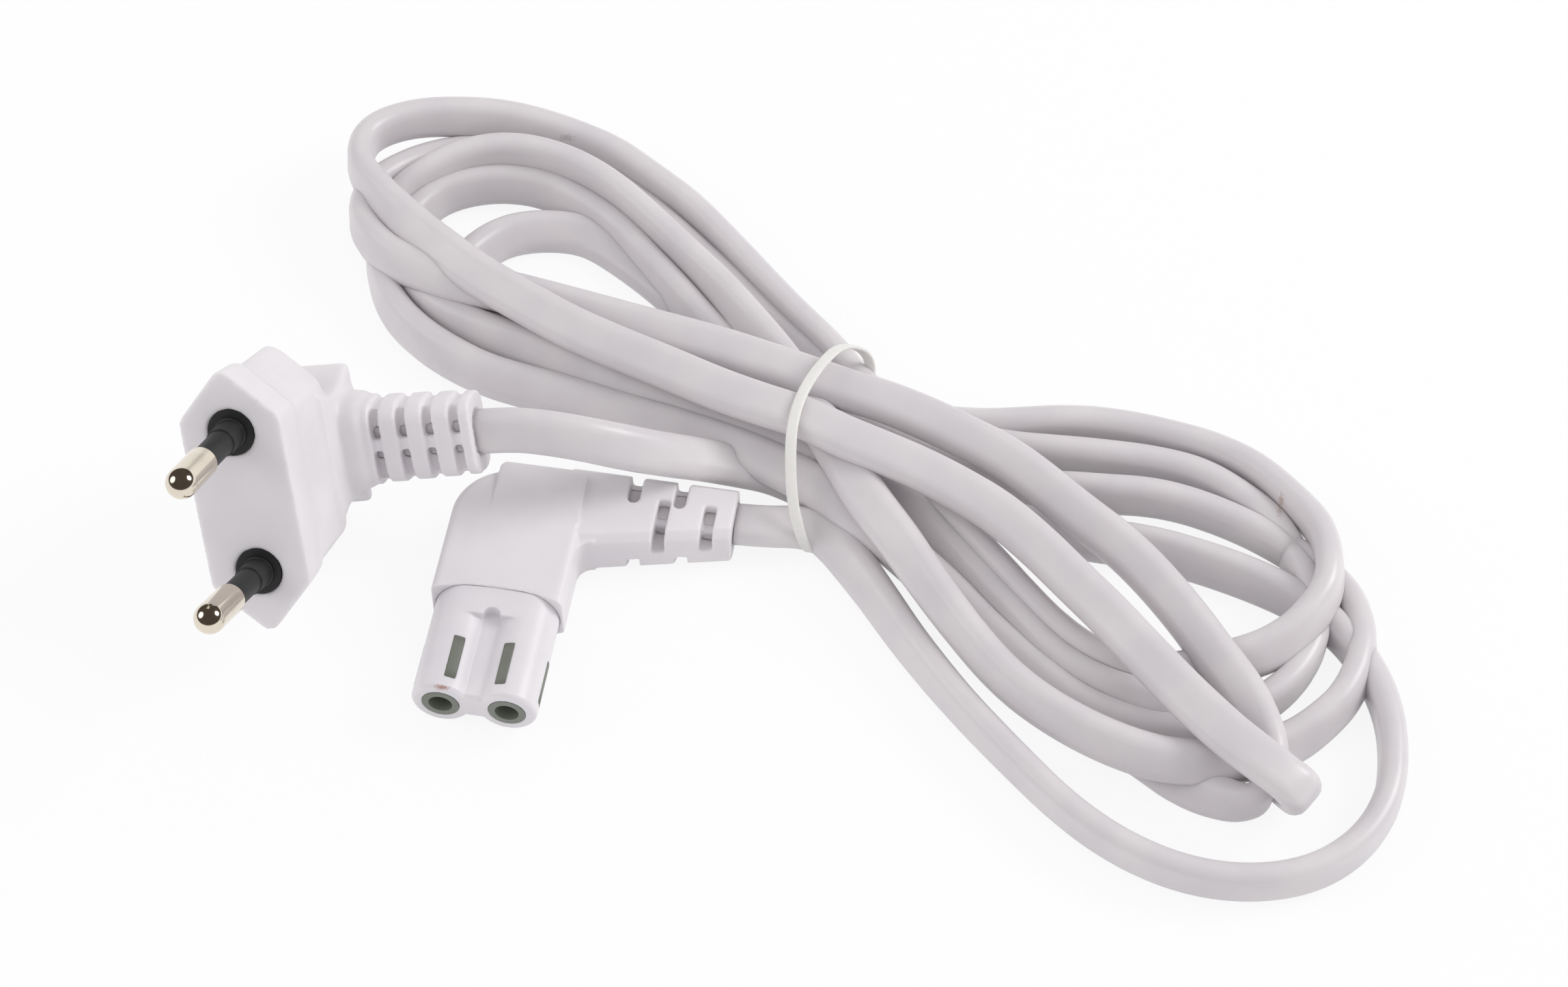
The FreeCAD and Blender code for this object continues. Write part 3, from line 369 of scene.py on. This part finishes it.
def sweep(line, broad, section, closed=False, floor=None):
    """A skin along a line: each ring takes the section, its wide side along the broad direction."""
    rings = len(line)
    bm = bmesh.new()
    columns = rings if closed else rings - 1
    bmesh.ops.create_grid(bm, x_segments=columns, y_segments=len(section) - 1, size=1.0)
    frames = []
    for i in range(rings):
        before = line[i - 1] if closed or i else line[i]
        after = line[(i + 1) % rings] if closed or i < rings - 1 else line[i]
        along = (after - before).normalized()
        wide = (broad[i] - along * broad[i].dot(along)).normalized()
        frames.append((wide, along.cross(wide)))
    for v in bm.verts:
        i = round((v.co.x + 1) / 2 * columns) % rings
        a, b = section[round((v.co.y + 1) / 2 * (len(section) - 1))]
        wide, thin = frames[i]
        v.co = line[i] + wide * a * MM + thin * b * MM
        if floor is not None:
            v.co.z = max(v.co.z, floor)
    bmesh.ops.remove_doubles(bm, verts=bm.verts, dist=1e-7)
    if not closed:
        bmesh.ops.holes_fill(bm, edges=[e for e in bm.edges if e.is_boundary], sides=0)
    bmesh.ops.recalc_face_normals(bm, faces=bm.faces)
    return bm


def section_turns(points, turns, samples):
    """The broad direction at each sample, blended between the control points' own turns."""
    broad = []
    for i, point in enumerate(points):
        along = (points[min(i + 1, len(points) - 1)] - points[max(i - 1, 0)]).normalized()
        level = Vector((0, 0, 1)).cross(along).normalized()
        upward = along.cross(level)
        turn = math.radians(turns[i])
        wide = level * math.cos(turn) + upward * math.sin(turn)
        if broad and broad[-1].dot(wide) < 0:
            wide = -wide
        broad.append(wide)
    last = len(points) - 1
    out = []
    for k in range(samples):
        at = min(max(k * (last - 1) / (samples - 1) + 0.5, 0.0), float(last))
        i = min(int(at), last - 1)
        out.append(broad[i].lerp(broad[i + 1], at - i))
    return out


def braced(profile):
    """Adds a ring near both ends of each long run, so that its shading stays straight."""
    out = [profile[0]]
    for (r0, z0), (r1, z1) in zip(profile, profile[1:]):
        length = math.hypot(r1 - r0, z1 - z0)
        if length > LONG_RUN:
            for share in (BRACE / length, 1 - BRACE / length):
                out.append((r0 + (r1 - r0) * share, z0 + (z1 - z0) * share))
        out.append((r1, z1))
    return out


def turned(profile, steps, place):
    """A closed round piece spun from its half outline, pairs of radius and height in millimetres."""
    bm = bmesh.new()
    verts = [bm.verts.new((r * MM, 0, z * MM)) for r, z in braced(profile)]
    edges = [bm.edges.new(pair) for pair in zip(verts, verts[1:])]
    bmesh.ops.spin(bm, geom=verts + edges, cent=(0, 0, 0), axis=(0, 0, 1), angle=2 * math.pi, steps=steps,
                   use_merge=True)
    bmesh.ops.remove_doubles(bm, verts=bm.verts, dist=1e-7)
    bmesh.ops.recalc_face_normals(bm, faces=bm.faces)
    bmesh.ops.transform(bm, matrix=place, verts=bm.verts)
    return bm


def eased(value):
    """Rises smoothly from 0 to 1."""
    value = min(max(value, 0.0), 1.0)
    return value * value * (3 - 2 * value)


def blend_connector(bm):
    """Fades the rear pad into the top, and brings the seam round the sides closer to its arch."""
    for v in bm.verts:
        x, y, z = v.co / MM + NOSE_AT
        if z > BODY_TOP:
            z = BODY_TOP + (z - BODY_TOP) * eased((y - PAD_FRONT) / PAD_FADE)
        if y < SEAM_KEPT:
            seam = SEAM_FRONT - SEAM_DROP * (x / BODY_HALF_WIDTH) ** 2
            less = SEAM_FRONT - (SEAM_DROP - SEAM_LIFT) * (x / BODY_HALF_WIDTH) ** 2
            y = SEAM_KEPT - (SEAM_KEPT - y) * (SEAM_KEPT - less) / (SEAM_KEPT - seam)
        v.co = from_nose((x, y, z))


def softened(node_name):
    """A moulded node's shape with its edges rounded as the mould leaves them."""
    voxel_mm, rounds = SOFT[node_name]
    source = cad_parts[node_name]
    mesh = source.data.copy()
    bm = bmesh.new()
    bm.from_mesh(mesh)
    bmesh.ops.remove_doubles(bm, verts=bm.verts, dist=1e-6)
    bm.to_mesh(mesh)
    bm.free()
    holder = bpy.data.objects.new("soft", mesh)
    bpy.context.scene.collection.objects.link(holder)
    skin = holder.modifiers.new("skin", "REMESH")
    skin.mode = "VOXEL"
    skin.voxel_size = voxel_mm * MM
    ease = holder.modifiers.new("ease", "SMOOTH")
    ease.iterations = rounds
    ease.factor = 0.5
    seen = holder.evaluated_get(bpy.context.evaluated_depsgraph_get())
    shape = bpy.data.meshes.new_from_object(seen)
    bpy.data.objects.remove(holder)
    out = bmesh.new()
    out.from_mesh(shape)
    return out


def round_more(bm, chosen, rounds):
    """Rounds the chosen part of a moulding further."""
    for _ in range(rounds):
        bmesh.ops.smooth_vert(bm, verts=chosen, factor=0.5, use_axis_x=True, use_axis_y=True,
                              use_axis_z=True)


def rounded_plug():
    """The plug's moulding: soft edges on the body, softer ones on the grip wings, crisp ribs."""
    bm = softened("plug_overmould")
    inward = plug_place().inverted()
    own = [(v, inward @ v.co / MM) for v in bm.verts]
    body = [(v, p) for v, p in own if p.x < RIBS_START]
    wings = [v for v, p in body if p.z < -WING_DEPTH and abs(p.y) > WING_START]
    round_more(bm, [v for v, p in body], BODY_ROUNDS)
    round_more(bm, wings, WING_ROUNDS)
    return bm


def plug_place(side=0):
    """From the plug's own axes, or those of one leaning pin, to the frame."""
    yaw, pitch, roll = (math.radians(a) for a in PLUG_TURN)
    turn = Matrix.Rotation(yaw, 4, "Z") @ Matrix.Rotation(pitch, 4, "Y") @ Matrix.Rotation(roll, 4, "X")
    place = Matrix.Translation(from_nose(PLUG_AT)) @ turn
    if side:
        lean = side * math.atan((PIN_PITCH - PIN_TIP_PITCH) / 2 / PIN_LENGTH)
        place = place @ Matrix.Translation((0, side * PIN_PITCH / 2 * MM, 0))
        place = place @ Matrix.Rotation(lean, 4, "X")
    return place


def pin_profile():
    """A round-ended metal pin from inside the plug to its tip."""
    low, neck = PIN_ROOT, SLEEVE_BORE
    ball = PIN_LENGTH - PIN_RADIUS
    tip = [(PIN_RADIUS * math.cos(a), ball + PIN_RADIUS * math.sin(a))
           for a in (math.pi / 2 * i / 20 for i in range(21))]
    shoulder = [(neck, SLEEVE_LENGTH), (PIN_RADIUS - PIN_EDGE, SLEEVE_LENGTH),
                (PIN_RADIUS, SLEEVE_LENGTH + PIN_EDGE)]
    return [(0, low), (neck, low)] + shoulder + tip[:-1] + [(0, PIN_LENGTH)]


def sleeve_profile():
    """The insulating sleeve: a thin front, a thicker base with a fine lip, and the seated end.
    The steps of 0.05 to 0.1 mm are broken edges."""
    r, base, lip = SLEEVE_RADIUS, SLEEVE_RADIUS + SLEEVE_BASE_MORE, SLEEVE_RADIUS + SLEEVE_LIP
    outer = [(r, SLEEVE_SEAT), (r, 0), (lip, 0), (lip, 0.32), (lip - 0.08, 0.4), (base, 0.4),
             (base, SLEEVE_BASE - 0.06), (base - 0.05, SLEEVE_BASE), (r, SLEEVE_BASE),
             (r, SLEEVE_LENGTH - 0.1), (r - 0.06, SLEEVE_LENGTH)]
    bore = [(SLEEVE_BORE, SLEEVE_LENGTH), (SLEEVE_BORE, SLEEVE_SEAT)]
    return bore[-1:] + outer + bore


def window_pads():
    """The insert's grey pads that lie flush in the nose's four windows."""
    bm = bmesh.new()
    for side in (-1, 1):
        for upright in (True, False):
            grid = bmesh.ops.create_grid(bm, x_segments=8, y_segments=4, size=1.0)["verts"]
            for v in grid:
                across, along = v.co.x * WINDOW_HALF, (v.co.y + 1) / 2
                off = side * (WINDOW_AT - LOBE_AT) + across if upright else across
                rise = math.sqrt(LOBE_RADIUS ** 2 - off ** 2) + WINDOW_PROUD
                y = WINDOW_START + along * (WINDOW_END - WINDOW_START)
                if upright:
                    v.co = from_nose((side * LOBE_AT + off, y, LOBE_HEIGHT + rise))
                else:
                    v.co = from_nose((side * (LOBE_AT + rise), y, LOBE_HEIGHT + off))
            faces = [f for f in bm.faces if f.verts[0] in grid]
            inward = Vector((0, 0, -1)) if upright else Vector((-side, 0, 0))
            wall = bmesh.ops.extrude_face_region(bm, geom=faces, use_keep_orig=True)
            back = [g for g in wall["geom"] if isinstance(g, bmesh.types.BMVert)]
            bmesh.ops.translate(bm, verts=back, vec=inward * WINDOW_DEPTH * MM)
    bmesh.ops.recalc_face_normals(bm, faces=bm.faces)
    return bm


def build_camera():
    """Stands where the photographer stood."""
    data = bpy.data.cameras.new("camera")
    data.sensor_width = 36.0
    data.lens = CAMERA_LENS
    data.clip_start = 0.01
    camera = bpy.data.objects.new("camera", data)
    right, back = CAMERA_RIGHT.normalized(), CAMERA_BACK.normalized()
    up = back.cross(right)
    turn = Matrix((right, up, back)).transposed().to_4x4()
    camera.matrix_world = Matrix.Translation(CAMERA_AT * MM) @ turn
    bpy.context.scene.collection.objects.link(camera)
    bpy.context.scene.camera = camera


def seen_white(tree, lit, share):
    """Mixes in plain white for what the camera, gloss and glass see; the rest stays as it is lit."""
    path = add(tree, "ShaderNodeLightPath")
    seen = add(tree, "ShaderNodeMath", {0: path.outputs["Is Camera Ray"],
                                        1: path.outputs["Is Glossy Ray"]}, operation="ADD")
    seen = add(tree, "ShaderNodeMath", {0: seen.outputs[0], 1: path.outputs["Is Transmission Ray"]},
               operation="ADD", use_clamp=True)
    weight = add(tree, "ShaderNodeMath", {0: seen.outputs[0], 1: share}, operation="MULTIPLY")
    white = add(tree, "ShaderNodeEmission", {"Color": (1, 1, 1, 1), "Strength": 1.0})
    mixed = add(tree, "ShaderNodeMixShader", {0: weight.outputs[0], 1: lit})
    tree.links.new(white.outputs[0], mixed.inputs[2])
    return mixed.outputs[0]


def build_room():
    """The dim room over the table, which only gloss mirrors."""
    bm = bmesh.new()
    bmesh.ops.create_uvsphere(bm, u_segments=48, v_segments=24, radius=ROOM_RADIUS)
    bmesh.ops.bisect_plane(bm, geom=bm.verts[:] + bm.edges[:] + bm.faces[:], plane_co=(0, 0, ROOM_EDGE),
                           plane_no=(0, 0, 1), clear_inner=True)
    mesh = bpy.data.meshes.new("dim_room")
    bm.to_mesh(mesh)
    bm.free()
    mat, tree = new_material("dark_felt")
    felt = add(tree, "ShaderNodeBsdfDiffuse", {"Color": srgb("#57504A")})
    out = add(tree, "ShaderNodeOutputMaterial")
    tree.links.new(felt.outputs[0], out.inputs["Surface"])
    mesh.materials.append(mat)
    room = bpy.data.objects.new("dim_room", mesh)
    bpy.context.scene.collection.objects.link(room)
    room.visible_camera = room.visible_diffuse = False
    room.visible_shadow = room.visible_transmission = False


def build_studio():
    """A pale floor, a soft sky and broad lamps."""
    bm = bmesh.new()
    bmesh.ops.create_grid(bm, x_segments=1, y_segments=1, size=3.0)
    mesh = bpy.data.meshes.new("floor")
    bm.to_mesh(mesh)
    bm.free()
    floor = bpy.data.objects.new("floor", mesh)
    bpy.context.scene.collection.objects.link(floor)
    mat, tree = new_material("pale_paper_floor")
    paper = add(tree, "ShaderNodeBsdfDiffuse", {"Color": srgb("#F4F4F6")})
    out = add(tree, "ShaderNodeOutputMaterial")
    tree.links.new(seen_white(tree, paper.outputs[0], FLOOR_WHITE), out.inputs["Surface"])
    mesh.materials.append(mat)

    world = bpy.data.worlds.new("studio")
    bpy.context.scene.world = world
    world.use_nodes = True
    tree = world.node_tree
    tree.nodes.clear()
    sky = add(tree, "ShaderNodeBackground", {"Color": SKY_COLOUR, "Strength": SKY_STRENGTH})
    out = add(tree, "ShaderNodeOutputWorld")
    tree.links.new(seen_white(tree, sky.outputs[0], 1.0), out.inputs["Surface"])

    for name, place, size, power in LAMPS:
        lamp = bpy.data.lights.new(name, "AREA")
        lamp.shape = "DISK"
        lamp.size = size
        lamp.energy = power
        obj = bpy.data.objects.new(name, lamp)
        obj.location = place
        obj.rotation_euler = (LAMPS_FACE - Vector(place)).to_track_quat("-Z", "Y").to_euler()
        bpy.context.scene.collection.objects.link(obj)
    build_room()
    bpy.context.scene.view_settings.view_transform = "Standard"


def build_cord(mat, band_mat):
    """The whole flat cord, loop by loop, and the band that ties it."""
    points = [from_nose(p[:3]) for p in ROUTE]
    line = smooth_line(points)
    broad = section_turns(points, [p[3] for p in ROUTE], len(line))
    skin = sweep(line, broad, rounded_flat(CORD_HALF_WIDTH, CORD_HALF_THICKNESS), floor=FLOOR_GAP)
    cord = piece("flat_cord", skin, mat,
                 ("cord_plug_lead", "cord_connector_lead", "cord_hank"))
    ring = smooth_line([from_nose(p) for p in BAND], closed=True)
    wide = [Vector((1, 0, 0))] * len(ring)
    strip = rounded_flat(BAND_HALF_WIDTH, BAND_HALF_THICKNESS, 6)
    band = piece("elastic_tie", sweep(ring, wide, strip, closed=True, floor=FLOOR_GAP), band_mat,
                 ("elastic_band",))
    return cord, band, line


def main():
    build_camera()
    build_studio()
    # Soft PVC of plug and connector: an even pale white with a faint mould grain
    soft_white = moulded("moulded_pvc_white", "#E9E6E8", "#E4E1E4", 0.42, 0.22, 0.02, 0.25)
    # Harder nylon of the nose: a little smoother and glossier, with a brown rub mark above one socket
    nose_white = moulded("moulded_nylon_white", "#E6E3E6", "#E0DDE1", 0.34, 0.2, 0.012, 0.2, marks=[
        ((-3.83, 0.15, 7.75), (1.3, 0.35, 0.8), "#A8705C", 0.75),
        ((-2.2, 10.5, 6.6), (0.16, 0.16, 0.8), "#5A5558", 0.8)])
    # The cord's jacket: satin, slightly greyer than the plug, scuffed where the loops rub
    cord_white = moulded("extruded_pvc_white", "#DCD8D9", "#D5D1D4", 0.34, 0.5, 0.02, 0.25, marks=[
        ((-7.0, 95.5, 6.8), (1.6, 0.5, 1.2), "#9C9490", 0.6),
        ((98.4, 46.6, 6.6), (0.5, 2.2, 1.4), "#A98F7C", 0.6),
        ((70.0, 48.4, 4.6), (1.2, 0.4, 1.0), "#A79E9A", 0.55)])
    # Grey nylon of the contact insert: flat, fine-grained
    grey = moulded("moulded_nylon_grey", "#7C8077", "#75796F", 0.5, 0.12, 0.012, 0.0)
    # Black nylon of the pin carrier and sleeves: dull, with a soft sheen
    black = moulded("moulded_nylon_black", "#2B2C2D", "#252627", 0.5, 0.1, 0.02, 0.0)
    # Core insulation inside the mouldings
    blue = moulded("pvc_insulation_blue", "#2F62B0", "#2A5AA6", 0.4, 0.3, 0.01, 0.0)
    brown = moulded("pvc_insulation_brown", "#5A3823", "#52331F", 0.4, 0.3, 0.01, 0.0)
    # Bright nickel on the pins: a warm, nearly clear mirror
    nickel = plated("nickel_plated_brass", "#E8DFD0", "#DCD2C2", 0.12)
    # Turned brass deep in the sockets
    brass = plated("turned_brass", "#C9B06A", "#A98F4E", 0.3)
    # Milky elastic of the band: lets a little light through
    tie = elastic("cloudy_elastic")

    cord, band, line = build_cord(cord_white, tie)
    plug = piece("plug_body", rounded_plug(), soft_white, ("plug_overmould",))
    housing = softened("connector_overmould")
    blend_connector(housing)
    piece("connector_body", housing, soft_white, ("connector_overmould",))
    piece("connector_mouth", softened("connector_nose"), nose_white, ("connector_nose",))
    piece("connector_windows", window_pads(), grey)
    on_cord = [plug, band]
    for side, word in ((1, "upper"), (-1, "lower")):
        place = plug_place(side)
        on_cord.append(piece("pin_" + word, turned(pin_profile(), 96, place), nickel,
                             ("plug_pin_" + word,)))
        on_cord.append(piece("sleeve_" + word, turned(sleeve_profile(), 96, place), black,
                             ("plug_sleeve_" + word,)))
    kept = {
        "contact_carrier": grey, "contact_left": brass, "contact_right": brass,
        "connector_core_left": blue, "connector_core_right": brown, "connector_jacket": cord_white,
        "plug_bridge": black, "plug_core_upper": brown, "plug_core_lower": blue,
        "plug_jacket": cord_white,
    }
    for name, mat in kept.items():
        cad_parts[name].data.materials.clear()
        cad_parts[name].data.materials.append(mat)
    on_cord += [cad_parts[name] for name in kept if name.startswith("plug_")]


main()
